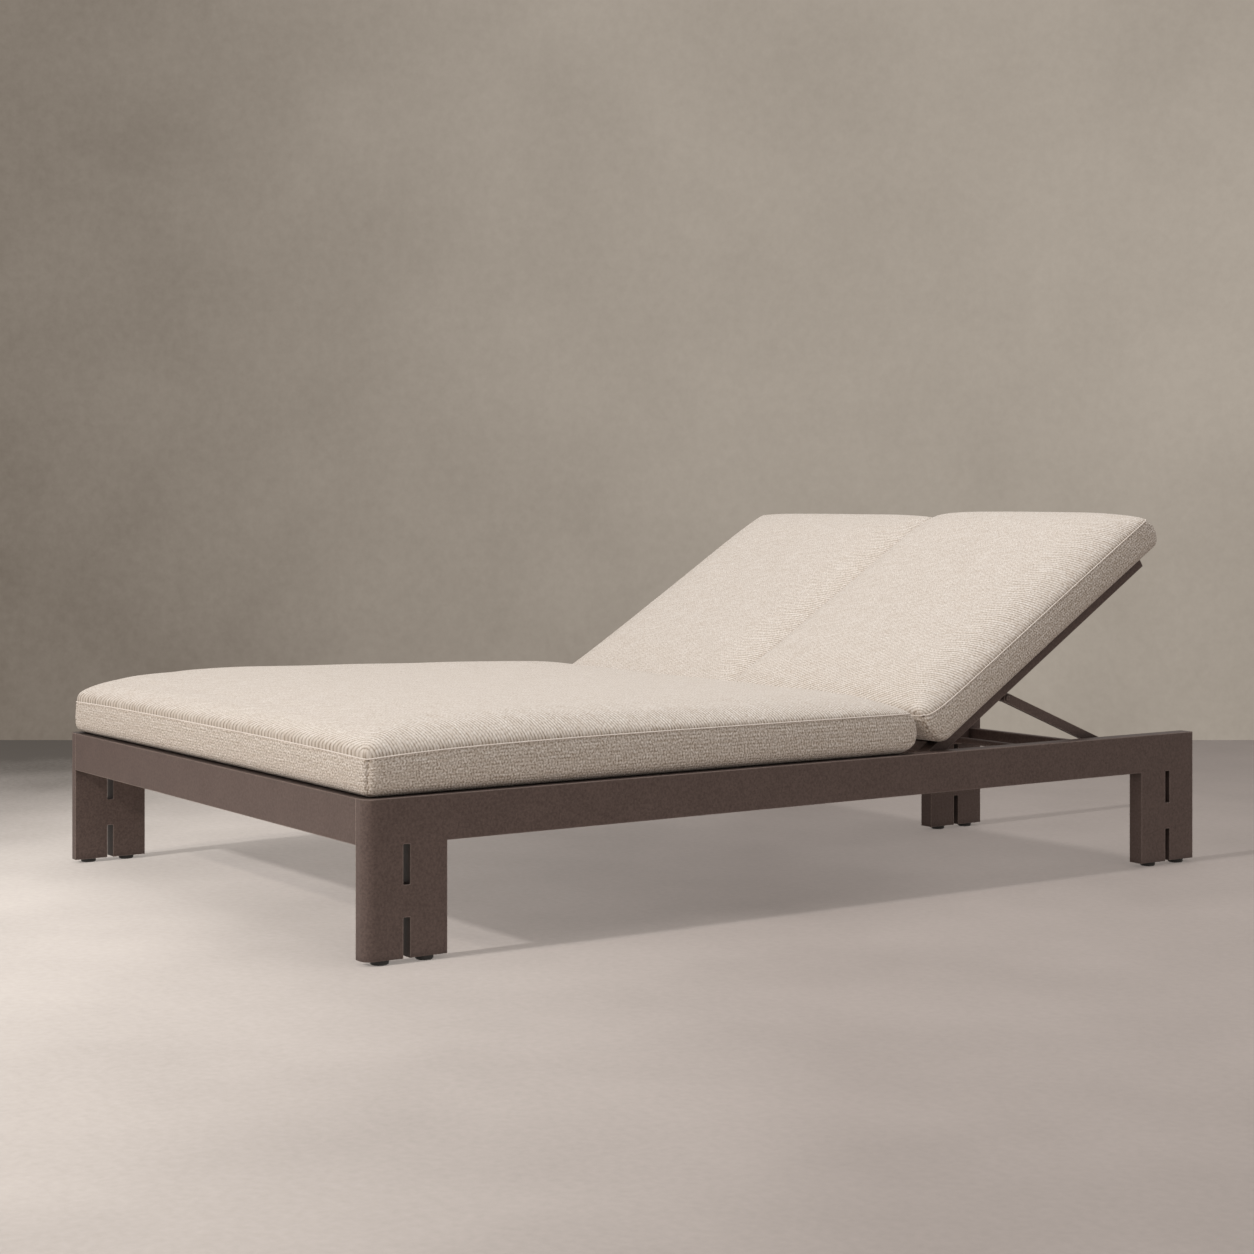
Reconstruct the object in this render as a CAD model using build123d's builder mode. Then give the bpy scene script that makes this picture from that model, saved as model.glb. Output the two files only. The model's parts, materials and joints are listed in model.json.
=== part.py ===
from build123d import *
from math import asin, cos, degrees, radians, sin
import os

# Double chaise lounger with two backs that recline by themselves.
# Millimetres, +Z up, +Y towards the head end, +X towards the right half.
# The origin is on the floor, under the middle of the frame.

# Driving dimensions of the frame
frame_length = 2050
frame_width = 1390
rail_depth = 81
leg_height = 197
leg_width = 161
panel_thickness = 35
corner_radius = 20
arris_radius = 1.5
slot_width = 14
slot_length = 70
slot_bridge = 56
slot_corner_radius = 2
overrun = 1

# Glides under the legs
glide_height = 8
glide_radius = 16
glide_edge_chamfer = 2
glide_stud_radius = 4
glide_stud_length = 18
glide_stud_clearance = 0.2

# Cross rails under the backs
head_rail_width = 16
head_rail_depth = 35.5
head_rail_setback = 21
brace_rail_setback = 325
brace_rail_depth = 13
hinge_rail_width = 35
hinge_rail_depth = 35
tube_edge_radius = 3

# Seat deck
cleat_leg = 25
cleat_wall = 3
slat_width = 60
slat_thickness = 16
slat_edge_radius = 5
slat_count = 9
slat_end_gap = 2
deck_end_margin = 28

# Backs
back_angle = 32.5
back_angle_max = 50
stile_width = 30
stile_depth = 28
stile_edge_radius = 2
back_length = 728
back_head_room = 9
back_side_gap = 4
back_rail_width = 28
back_rail_start = 30
back_slat_width = 50
back_slat_thickness = 12
back_slat_edge_radius = 3
back_slat_count = 5

# Hinges
pin_radius = 5
pin_running_clearance = 0.05
pin_head_radius = 8
pin_head_height = 5
pin_end_setback = 1
bush_wall = 2
bush_flange_radius = 10
bush_flange_thickness = 1
lug_thickness = 6
lug_radius = 12
lug_base_width = 34
lug_running_gap = 0.3
swing_room = 12

# Struts and racks
strut_length_share = 0.6
strut_pivot_share = 0.34
strut_pivot_drop = 13.5
strut_width = 20
strut_thickness = 12
strut_fold_share = 0.56
bar_radius = 7.5
bar_pin_radius = 3.5
bar_pin_chamfer = 0.8
bar_rest_height = 219
bar_end_gap = 2
tab_thickness = 6
tab_radius = 9
tab_base_width = 32
strut_pin_radius = 4
strut_pin_head_radius = 5.5
strut_pin_head_height = 3
strut_side_gap = 2
rack_thickness = 9
rack_end_margin = 11
rack_clearance = 0.6
rack_notch_drop = 2.5
rack_notch_clearance = 0.5
recline_stops = (back_angle_max, 41.5, back_angle, 20, 0)

# Bumpers that the flat backs rest on
bumper_radius = 7
bumper_spread = 200
bumper_gap = 0.3
bumper_edge_chamfer = 1.5

# Cushions
cushion_seat_gap = 0.3
cushion_side_margin = 9
seat_foot_margin = 7
seat_head_setback = 59
seat_crown = 134
seat_corner_radius = 34
back_cushion_start = 6
back_cushion_overhang = 52
back_crown = 98
back_corner_radius = 30
back_middle_gap = 3

# Heights along the crown and how far the sides are drawn in there
seat_height_shares = (0, 0.07, 0.22, 0.44, 0.59, 0.71, 0.83, 0.93, 1)
seat_inset_shares = (0.17, 0.06, 0, 0.005, 0.02, 0.12, 0.36, 0.75, 1.5)
back_height_shares = (0, 0.08, 0.24, 0.5, 0.67, 0.78, 0.88, 0.96, 1)
back_inset_shares = (0.17, 0.06, 0, 0.005, 0.03, 0.16, 0.36, 0.68, 1.25)

# Places worked out from the driving dimensions
foot_y = -frame_length / 2
head_y = frame_length / 2
hinge_position = head_y - back_head_room - back_length
side_x = frame_width / 2
side_inner_x = side_x - panel_thickness
beam_x = panel_thickness / 2
rail_bottom = glide_height + leg_height
frame_top = rail_bottom + rail_depth
hinge_z = frame_top - stile_depth / 2
half_depth = stile_depth / 2
back_outer_x = side_inner_x - back_side_gap
back_inner_x = beam_x + back_side_gap
back_mid_x = (back_outer_x + back_inner_x) / 2
lean = radians(back_angle)
back_cushion_end = back_length + back_cushion_overhang
strut_length = strut_length_share * back_length
strut_pivot_distance = strut_pivot_share * back_length
tab_outer_x = back_outer_x - stile_width + strut_side_gap + tab_thickness
strut_inner_x = tab_outer_x + strut_side_gap
strut_outer_x = strut_inner_x + strut_thickness
bar_outer_x = side_inner_x - bar_end_gap
pivot_v = -half_depth - strut_pivot_drop
hinge_rail_top = hinge_z - half_depth - swing_room
head_rail_y = head_y - head_rail_setback - head_rail_width / 2
head_rail_top = rail_bottom + head_rail_depth


def back_point(along, out, angle):
    """Give the (y, z) of a point that is fixed to a back at the given recline in degrees."""
    turn = radians(angle)
    y = hinge_position + along * cos(turn) - out * sin(turn)
    z = hinge_z + along * sin(turn) + out * cos(turn)
    return y, z


pivot_y, pivot_z = back_point(strut_pivot_distance, pivot_v, back_angle)
rest_drop = degrees(asin((pivot_z - bar_rest_height) / strut_length))


def bar_point(angle):
    """Give the (y, z) of the strut's cross bar when the back is at the given recline in degrees."""
    y, z = back_point(strut_pivot_distance, pivot_v, angle)
    drop = radians(rest_drop + strut_fold_share * (angle - back_angle))
    return y + strut_length * cos(drop), z - strut_length * sin(drop)


def side_plane(x):
    """Give the upright plane at x whose own x runs along Y and whose own y runs up."""
    return Plane(origin=(x, 0, 0), x_dir=(0, 1, 0), z_dir=(1, 0, 0))


def back_side_plane(x):
    """Give the plane at x that leans with the back: its own x runs along the back, its y out."""
    return Plane(origin=(x, hinge_position, hinge_z), x_dir=(0, cos(lean), sin(lean)), z_dir=(1, 0, 0))


def back_face_plane(out):
    """Give the plane along the back at a height over the hinge axis: its own y runs up the back."""
    y, z = back_point(0, out, back_angle)
    return Plane(origin=(0, y, z), x_dir=(1, 0, 0), z_dir=(0, -sin(lean), cos(lean)))


def strut_plane(x):
    """Give the plane at x whose origin is the strut's pivot and whose own x runs down the strut."""
    drop = radians(rest_drop)
    return Plane(origin=(x, pivot_y, pivot_z), x_dir=(0, cos(drop), -sin(drop)), z_dir=(1, 0, 0))


def save(part, label):
    """Label one finished sub-part and write its STEP file."""
    part.label = label
    export_step(part, f"parts/{label}.step")


def mirrored(part):
    """Give the same sub-part on the left half."""
    return mirror(part, about=Plane.YZ)


def slot_cut(start_x, leg_y):
    """Cut the two slots of a leg, which stand in line, through a panel that starts at start_x."""
    upper_middle = rail_bottom - slot_length / 2
    lower_top = rail_bottom - slot_length - slot_bridge
    lower_middle = (lower_top - overrun) / 2
    with BuildSketch(side_plane(start_x - overrun)) as slots:
        with Locations((leg_y, upper_middle)):
            RectangleRounded(slot_width, slot_length, slot_corner_radius)
        with Locations((leg_y, lower_middle)):
            RectangleRounded(slot_width, lower_top + overrun, slot_corner_radius)
    extrude(slots.sketch, amount=panel_thickness + 2 * overrun, mode=Mode.SUBTRACT)


def glide_places(leg_y):
    """Give the two places along Y of a leg's glides, one under the middle of each toe."""
    shift = (leg_width + slot_width) / 4
    return leg_y - shift, leg_y + shift


def stud_holes(x, leg_y):
    """Drill the blind holes in the two toes of a leg that take the studs of the glides."""
    with Locations(*[(x, y, glide_height) for y in glide_places(leg_y)]):
        Cylinder(
            glide_stud_radius + glide_stud_clearance,
            glide_stud_length + glide_stud_clearance,
            align=(Align.CENTER, Align.CENTER, Align.MIN),
            mode=Mode.SUBTRACT,
        )


def side_panel():
    """Make the right side panel: a deep rail and two slotted plate legs in one flat form."""
    leg_middles = (foot_y + leg_width / 2, head_y - leg_width / 2)
    with BuildPart() as panel:
        with BuildSketch(side_plane(side_inner_x)):
            with BuildLine():
                Polyline(
                    (foot_y, glide_height),
                    (foot_y, frame_top),
                    (head_y, frame_top),
                    (head_y, glide_height),
                    (head_y - leg_width, glide_height),
                    (head_y - leg_width, rail_bottom),
                    (foot_y + leg_width, rail_bottom),
                    (foot_y + leg_width, glide_height),
                    close=True,
                )
            make_face()
        extrude(amount=panel_thickness)
        upright = panel.edges().filter_by(Axis.Z).group_by(Axis.Y)[0]
        fillet(upright.sort_by(Axis.X)[-1:], corner_radius)
        outer_edges = panel.faces().sort_by(Axis.X)[-1].edges()
        arrises = outer_edges.filter_by(Axis.Y) + outer_edges.filter_by(Axis.Z).sort_by(Axis.Y)[1:]
        fillet(arrises, arris_radius)
        for leg_y in leg_middles:
            slot_cut(side_inner_x, leg_y)
            stud_holes(side_x - panel_thickness / 2, leg_y)
    return panel.part


def centre_beam():
    """Make the beam along the middle, with its one slotted leg at the head end."""
    leg_y = head_y - leg_width / 2
    start_y = foot_y + panel_thickness
    with BuildPart() as beam:
        with BuildSketch(side_plane(-beam_x)):
            with BuildLine():
                Polyline(
                    (start_y, rail_bottom),
                    (start_y, frame_top),
                    (head_y, frame_top),
                    (head_y, glide_height),
                    (head_y - leg_width, glide_height),
                    (head_y - leg_width, rail_bottom),
                    close=True,
                )
            make_face()
        extrude(amount=panel_thickness)
        fillet(beam.edges().filter_by(Axis.Z).group_by(Axis.Y)[-1], arris_radius)
        slot_cut(-beam_x, leg_y)
        stud_holes(0, leg_y)
    return beam.part


def foot_rail():
    """Make the rail across the foot end, flush with the two side panels."""
    with BuildPart() as rail:
        with Locations((0, foot_y, rail_bottom)):
            Box(2 * side_inner_x, panel_thickness, rail_depth, align=(Align.CENTER, Align.MIN, Align.MIN))
        fillet(rail.edges().filter_by(Axis.X).group_by(Axis.Y)[0], arris_radius)
    return rail.part


def cross_rail(middle_y, bottom_z, width, depth):
    """Make a cross rail of the right half, between the centre beam and the side panel."""
    with BuildPart() as rail:
        with BuildSketch(Plane.YZ.offset(beam_x)):
            with Locations((middle_y, bottom_z + depth / 2)):
                RectangleRounded(width, depth, tube_edge_radius)
        extrude(amount=side_inner_x - beam_x)
    return rail.part


def deck_end():
    """Give the Y where the seat deck ends, just short of the seat cushion's head end."""
    return hinge_position - seat_head_setback - deck_end_margin


def seat_cleat():
    """Make the angle on the side panel that the ends of the seat slats lie on."""
    top = frame_top - slat_thickness
    start_y = foot_y + panel_thickness
    with BuildPart() as cleat:
        with BuildSketch(Plane.XZ.offset(-start_y)):
            with BuildLine():
                Polyline(
                    (side_inner_x, top),
                    (side_inner_x, top - cleat_leg),
                    (side_inner_x - cleat_wall, top - cleat_leg),
                    (side_inner_x - cleat_wall, top - cleat_wall),
                    (side_inner_x - cleat_leg, top - cleat_wall),
                    (side_inner_x - cleat_leg, top),
                    close=True,
                )
            make_face()
        extrude(amount=start_y - deck_end())
        inside = cleat.edges().filter_by(Axis.Y).filter_by_position(Axis.Z, top - cleat_wall, top - cleat_wall)
        fillet(inside.sort_by(Axis.X)[-1:], cleat_wall / 2)
    return cleat.part


def seat_slats():
    """Make the slats of the right half's seat deck, spread evenly from foot rail to deck end."""
    start_y = foot_y + panel_thickness
    pitch = (deck_end() - start_y) / slat_count
    length = side_inner_x - beam_x - 2 * slat_end_gap
    with BuildPart() as slats:
        with BuildSketch(Plane.YZ.offset(beam_x + slat_end_gap)):
            for index in range(slat_count):
                with Locations((start_y + pitch * (index + 1 / 2), frame_top - slat_thickness / 2)):
                    RectangleRounded(slat_width, slat_thickness, slat_edge_radius)
        extrude(amount=length)
    return slats.part


def glide_pair(x, leg_y):
    """Make the two glides of a leg, each a disc with a stud that stands up into its toe."""
    with BuildPart() as glides:
        for y in glide_places(leg_y):
            with Locations((x, y, 0)):
                Cylinder(glide_radius, glide_height, align=(Align.CENTER, Align.CENTER, Align.MIN))
        rims = glides.edges().filter_by(GeomType.CIRCLE)
        chamfer(rims.group_by(Axis.Z)[0], glide_edge_chamfer)
        for y in glide_places(leg_y):
            with Locations((x, y, glide_height)):
                Cylinder(glide_stud_radius, glide_stud_length, align=(Align.CENTER, Align.CENTER, Align.MIN))
    return glides.part


def hinge_lug():
    """Make the upright lug beside the outer stile that carries the hinge pin."""
    outer_x = back_outer_x - stile_width - bush_flange_thickness - lug_running_gap
    with BuildPart() as lug:
        with BuildSketch(side_plane(outer_x - lug_thickness)):
            with Locations((hinge_position, hinge_z)):
                Circle(lug_radius)
            with Locations((hinge_position, hinge_rail_top)):
                Rectangle(lug_base_width, lug_thickness, align=(Align.CENTER, Align.MIN))
            make_hull()
            with Locations((hinge_position, hinge_z)):
                Circle(pin_radius, mode=Mode.SUBTRACT)
        extrude(amount=lug_thickness)
    return lug.part


def hinge_pin():
    """Make the outer hinge pin, whose head bears on the lug and whose shank carries the stile."""
    lug_face_x = back_outer_x - stile_width - bush_flange_thickness - lug_running_gap - lug_thickness
    with BuildPart() as pin:
        with BuildSketch(side_plane(lug_face_x - pin_head_height)):
            with Locations((hinge_position, hinge_z)):
                Circle(pin_head_radius)
        extrude(amount=pin_head_height)
        chamfer(pin.edges().filter_by(GeomType.CIRCLE).sort_by(Axis.X)[:1], pin_head_height / 4)
        with BuildSketch(side_plane(lug_face_x)):
            with Locations((hinge_position, hinge_z)):
                Circle(pin_radius)
        extrude(amount=back_outer_x - pin_end_setback - lug_face_x)
    return pin.part


def hinge_bush():
    """Make the flanged bush in the outer stile that turns on the hinge pin."""
    flange_x = back_outer_x - stile_width - bush_flange_thickness
    with BuildPart() as bush:
        with BuildSketch(side_plane(flange_x)):
            with Locations((hinge_position, hinge_z)):
                Circle(bush_flange_radius)
        extrude(amount=bush_flange_thickness)
        with BuildSketch(side_plane(flange_x)):
            with Locations((hinge_position, hinge_z)):
                Circle(pin_radius + bush_wall)
        extrude(amount=bush_flange_thickness + stile_width)
        with BuildSketch(side_plane(flange_x - overrun)):
            with Locations((hinge_position, hinge_z)):
                Circle(pin_radius + pin_running_clearance)
        extrude(amount=bush_flange_thickness + stile_width + 2 * overrun, mode=Mode.SUBTRACT)
    return bush.part


def back_stile():
    """Make the outer stile of the right back, round at its hinge and bored for the bush."""
    with BuildPart() as stile:
        with BuildSketch(back_side_plane(back_outer_x - stile_width)):
            Circle(half_depth)
            with Locations((back_length / 2, 0)):
                Rectangle(back_length, stile_depth)
            Circle(pin_radius + bush_wall, mode=Mode.SUBTRACT)
        extrude(amount=stile_width)
        sides = stile.faces().filter_by(Axis.X)
        long_edges = [edge for face in sides for edge in face.edges() if edge.length > back_length / 2]
        fillet(long_edges, stile_edge_radius)
    return stile.part


def back_rail(start):
    """Make a rail between the stiles of the right back, from a distance along the back."""
    with BuildPart() as rail:
        with BuildSketch(back_side_plane(back_inner_x + stile_width)):
            with Locations((start + back_rail_width / 2, 0)):
                RectangleRounded(back_rail_width, stile_depth, stile_edge_radius)
        extrude(amount=back_outer_x - back_inner_x - 2 * stile_width)
    return rail.part


def back_slats():
    """Make the slats of the right back, flush with its front and spread between its rails."""
    low = back_rail_start + back_rail_width
    high = back_length - back_rail_width
    pitch = (high - low) / back_slat_count
    with BuildPart() as slats:
        with BuildSketch(back_side_plane(back_inner_x + stile_width)):
            for index in range(back_slat_count):
                with Locations((low + pitch * (index + 1 / 2), half_depth - back_slat_thickness / 2)):
                    RectangleRounded(back_slat_width, back_slat_thickness, back_slat_edge_radius)
        extrude(amount=back_outer_x - back_inner_x - 2 * stile_width)
    return slats.part


def strut_tab():
    """Make the tab under the outer stile that carries the strut's pin."""
    with BuildPart() as tab:
        with BuildSketch(back_side_plane(tab_outer_x - tab_thickness)):
            with Locations((strut_pivot_distance, pivot_v)):
                Circle(tab_radius)
            with Locations((strut_pivot_distance, -half_depth)):
                Rectangle(tab_base_width, tab_thickness / 2, align=(Align.CENTER, Align.MAX))
            make_hull()
            with Locations((strut_pivot_distance, pivot_v)):
                Circle(strut_pin_radius, mode=Mode.SUBTRACT)
        extrude(amount=tab_thickness)
    return tab.part


def strut_pin():
    """Make the pin that the outer strut arm turns on, with its head outside the arm."""
    head_x = strut_outer_x + lug_running_gap
    with BuildPart() as pin:
        with BuildSketch(strut_plane(tab_outer_x - tab_thickness)):
            Circle(strut_pin_radius)
        extrude(amount=head_x - tab_outer_x + tab_thickness)
        with BuildSketch(strut_plane(head_x)):
            Circle(strut_pin_head_radius)
        extrude(amount=strut_pin_head_height)
        chamfer(pin.edges().filter_by(GeomType.CIRCLE).sort_by(Axis.X)[-1:], strut_pin_head_height / 3)
        with BuildSketch(strut_plane(tab_outer_x)):
            Circle(strut_pin_head_radius)
        extrude(amount=strut_side_gap - lug_running_gap)
    return pin.part


def strut_arm():
    """Make the outer arm of the right strut, a flat bar with round ends and two bores."""
    with BuildPart() as arm:
        with BuildSketch(strut_plane(strut_inner_x)):
            with Locations((strut_length / 2, 0)):
                SlotCenterToCenter(strut_length, strut_width)
            Circle(strut_pin_radius + pin_running_clearance, mode=Mode.SUBTRACT)
            with Locations((strut_length, 0)):
                Circle(bar_radius, mode=Mode.SUBTRACT)
        extrude(amount=strut_thickness)
    return arm.part


def strut_bar():
    """Make the cross bar of the right strut, whose thinner ends lie over the notches of the racks."""
    with BuildPart() as bar:
        for radius, outer_x in ((bar_pin_radius, bar_outer_x), (bar_radius, strut_outer_x)):
            inner_x = 2 * back_mid_x - outer_x
            with BuildSketch(strut_plane(inner_x)):
                with Locations((strut_length, 0)):
                    Circle(radius)
            extrude(amount=outer_x - inner_x)
        rims = bar.edges().filter_by(GeomType.CIRCLE).sort_by(Axis.X)
        chamfer([rims[0], rims[-1]], bar_pin_chamfer)
    return bar.part


def rack():
    """Make the notched rack on the right side panel, its top just under the bar's swept path."""
    reach = bar_pin_radius + rack_clearance
    path = [bar_point(angle) for angle in recline_stops]
    first_y = path[0][0] - rack_end_margin
    last_y = path[-1][0] + rack_end_margin
    top_points = [(y, z - reach) for y, z in path]
    with BuildPart() as plate:
        with BuildSketch(side_plane(side_inner_x - rack_thickness)):
            with BuildLine():
                Polyline(
                    (first_y, rail_bottom),
                    (first_y, top_points[0][1]),
                    *top_points,
                    (last_y, top_points[-1][1]),
                    (last_y, rail_bottom),
                    close=True,
                )
            make_face()
            with Locations(*[(y, z - rack_notch_drop) for y, z in path]):
                Circle(bar_pin_radius + rack_notch_clearance, mode=Mode.SUBTRACT)
        extrude(amount=rack_thickness)
    return plate.part


def bumper_pair():
    """Make the two bumpers under the top rail of the right back, which rest on the flat head rail."""
    height = hinge_z - half_depth - bumper_gap - head_rail_top
    along = back_length - back_rail_width + head_rail_width / 2
    with BuildPart() as bumpers:
        with BuildSketch(back_face_plane(-half_depth)):
            with Locations((back_mid_x - bumper_spread, along), (back_mid_x + bumper_spread, along)):
                Circle(bumper_radius)
        extrude(amount=-height)
        rims = bumpers.edges().filter_by(GeomType.CIRCLE)
        chamfer(rims.group_by(Axis.Z)[0], bumper_edge_chamfer)
    return bumpers.part


def seat_cushion():
    """Make the one seat cushion as a loft of rounded outlines, drawn in under and over its seam."""
    bottom = frame_top + cushion_seat_gap
    start_y = foot_y + seat_foot_margin
    end_y = hinge_position - seat_head_setback
    width = 2 * (side_x - cushion_side_margin)
    with BuildPart() as cushion:
        for height_share, inset_share in zip(seat_height_shares, seat_inset_shares):
            inset = 2 * inset_share * seat_crown
            with BuildSketch(Plane.XY.offset(bottom + height_share * seat_crown)):
                with Locations((0, (start_y + end_y) / 2)):
                    RectangleRounded(width - inset, end_y - start_y - inset, seat_corner_radius)
        loft(ruled=True)
    return cushion.part


def back_cushion():
    """Make the right back cushion as a loft of rounded outlines that lie along the back."""
    bottom = half_depth + cushion_seat_gap
    inner_x = back_middle_gap / 2
    outer_x = side_x - cushion_side_margin
    middle = ((inner_x + outer_x) / 2, (back_cushion_start + back_cushion_end) / 2)
    with BuildPart() as cushion:
        for height_share, inset_share in zip(back_height_shares, back_inset_shares):
            inset = 2 * inset_share * back_crown
            with BuildSketch(back_face_plane(bottom + height_share * back_crown)):
                with Locations(middle):
                    RectangleRounded(
                        outer_x - inner_x - inset,
                        back_cushion_end - back_cushion_start - inset,
                        back_corner_radius,
                    )
        loft(ruled=True)
    return cushion.part


os.makedirs("parts", exist_ok=True)
leg_foot_y = foot_y + leg_width / 2
leg_head_y = head_y - leg_width / 2
panel_middle_x = side_x - panel_thickness / 2

# The pieces that the two halves share
save(centre_beam(), "centre_beam")
save(foot_rail(), "foot_rail")
save(seat_cushion(), "seat_cushion")
save(glide_pair(0, leg_head_y), "glides_centre")

# The glides under the four corner legs
save(glide_pair(panel_middle_x, leg_foot_y), "glides_foot_right")
save(glide_pair(-panel_middle_x, leg_foot_y), "glides_foot_left")
save(glide_pair(panel_middle_x, leg_head_y), "glides_head_right")
save(glide_pair(-panel_middle_x, leg_head_y), "glides_head_left")

# The pieces that each half has once
single_pieces = {
    "side_panel": side_panel(),
    "head_rail": cross_rail(head_rail_y, rail_bottom, head_rail_width, head_rail_depth),
    "brace_rail": cross_rail(head_y - brace_rail_setback, rail_bottom, hinge_rail_width, brace_rail_depth),
    "hinge_rail": cross_rail(
        hinge_position, hinge_rail_top - hinge_rail_depth, hinge_rail_width, hinge_rail_depth
    ),
    "seat_slats": seat_slats(),
    "back_bumpers": bumper_pair(),
    "back_bottom_rail": back_rail(back_rail_start),
    "back_top_rail": back_rail(back_length - back_rail_width),
    "back_slats": back_slats(),
    "back_cushion": back_cushion(),
    "strut_bar": strut_bar(),
}
for name, piece in single_pieces.items():
    save(piece, f"{name}_right")
    save(mirrored(piece), f"{name}_left")

# The pieces that each half has at its outer and at its inner side
paired_pieces = {
    "seat_cleat": seat_cleat(),
    "hinge_lug": hinge_lug(),
    "back_stile": back_stile(),
    "strut_tab": strut_tab(),
    "strut_arm": strut_arm(),
    "rack": rack(),
}
for name, outer in paired_pieces.items():
    inner = mirror(outer, about=Plane.YZ.offset((side_inner_x + beam_x) / 2))
    save(outer, f"{name}_right_outer")
    save(inner, f"{name}_right_inner")
    save(mirrored(outer), f"{name}_left_outer")
    save(mirrored(inner), f"{name}_left_inner")

# The small round pieces, two alike at each back
for name, outer in (("hinge_pins", hinge_pin()), ("hinge_bushes", hinge_bush()), ("strut_pins", strut_pin())):
    with BuildPart() as pair:
        add(outer)
        mirror(about=Plane.YZ.offset(back_mid_x))
    save(pair.part, f"{name}_right")
    save(mirrored(pair.part), f"{name}_left")
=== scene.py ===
import json
import logging
import math
from dataclasses import dataclass, field
from enum import Enum

import bpy
import numpy as np
from mathutils import Matrix, Vector

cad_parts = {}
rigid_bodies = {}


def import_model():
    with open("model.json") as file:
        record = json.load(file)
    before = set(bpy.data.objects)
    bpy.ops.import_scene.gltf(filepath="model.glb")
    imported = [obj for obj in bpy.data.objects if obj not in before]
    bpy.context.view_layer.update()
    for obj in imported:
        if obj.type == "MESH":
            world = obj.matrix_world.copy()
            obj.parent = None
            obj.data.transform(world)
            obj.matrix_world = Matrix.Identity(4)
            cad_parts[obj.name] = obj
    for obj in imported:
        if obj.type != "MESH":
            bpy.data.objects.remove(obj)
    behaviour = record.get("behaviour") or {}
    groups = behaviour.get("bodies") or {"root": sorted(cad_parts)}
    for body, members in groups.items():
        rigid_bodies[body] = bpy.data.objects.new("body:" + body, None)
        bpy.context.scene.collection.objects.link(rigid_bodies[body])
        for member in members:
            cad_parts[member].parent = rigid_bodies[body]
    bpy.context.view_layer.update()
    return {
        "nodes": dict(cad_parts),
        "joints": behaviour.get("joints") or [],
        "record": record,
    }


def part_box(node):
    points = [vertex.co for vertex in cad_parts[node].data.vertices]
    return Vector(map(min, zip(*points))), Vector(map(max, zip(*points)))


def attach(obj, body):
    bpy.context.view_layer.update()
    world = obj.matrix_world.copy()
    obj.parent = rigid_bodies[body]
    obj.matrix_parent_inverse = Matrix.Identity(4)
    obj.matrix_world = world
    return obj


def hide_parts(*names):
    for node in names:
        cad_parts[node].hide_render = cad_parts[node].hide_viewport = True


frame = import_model()

MM = 0.001
WEAVE_UV = "Weave"
# The point attribute of painted shade along the cushions' seams and corner seams.
SEAM_SHADE = "Seam shade"
# The second cloth coordinate at the top of a side band, in metres, far from the panels' own.
BAND_START = -10.0
log = logging.getLogger("lounger")


class Half(Enum):
    """One half of the lounger; the value is the sign of its X."""

    RIGHT = 1
    LEFT = -1

    @property
    def word(self) -> str:
        """The half's name as the CAD nodes write it."""
        return self.name.lower()


def linear(hex_colour: str) -> tuple[float, float, float, float]:
    """Turn an sRGB colour into Blender's linear values.

    Args:
        hex_colour: six hex digits, such as "5a4b44".

    Returns:
        Linear red, green, blue and an alpha of 1.
    """
    parts = [int(hex_colour[start:start + 2], 16) / 255 for start in (0, 2, 4)]
    straight = [c / 12.92 if c <= 0.04045 else ((c + 0.055) / 1.055) ** 2.4 for c in parts]
    return straight[0], straight[1], straight[2], 1.0


def per_metre(size_mm: float) -> float:
    """Give the scale, on places in metres, of a pattern whose marks are size_mm apart."""
    return 1 / (size_mm * MM)


def add_node(
    tree: bpy.types.NodeTree, kind: str, inputs: tuple | dict = (), **settings: object
) -> bpy.types.Node:
    """Add one shader node with its settings, values and links.

    A value is a constant, an output socket, or a node, which stands for its first open output.

    Args:
        tree: the node tree that takes the node.
        kind: the node's type name after "ShaderNode".
        inputs: the values of its open inputs in their order, such as a noise's place, scale, detail
            and roughness, or a value for each name or number.
        settings: the node's own properties.

    Returns:
        The new node.
    """
    node = tree.nodes.new(f"ShaderNode{kind}")
    for name, value in settings.items():
        setattr(node, name, value)
    if isinstance(inputs, dict):
        pairs = [(node.inputs[key], value) for key, value in inputs.items()]
    else:
        pairs = zip([socket for socket in node.inputs if socket.enabled], inputs)
    for socket, value in pairs:
        if isinstance(value, bpy.types.Node):
            value = next(output for output in value.outputs if output.enabled)
        if isinstance(value, bpy.types.NodeSocket):
            tree.links.new(value, socket)
        else:
            socket.default_value = value
    return node


def new_material(name: str) -> tuple[bpy.types.Material, bpy.types.NodeTree]:
    """Start a material without nodes.

    Args:
        name: the finish's plain name.

    Returns:
        The material and its node tree.
    """
    material = bpy.data.materials.new(name)
    material.use_nodes = True
    material.node_tree.nodes.clear()
    return material, material.node_tree


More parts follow.
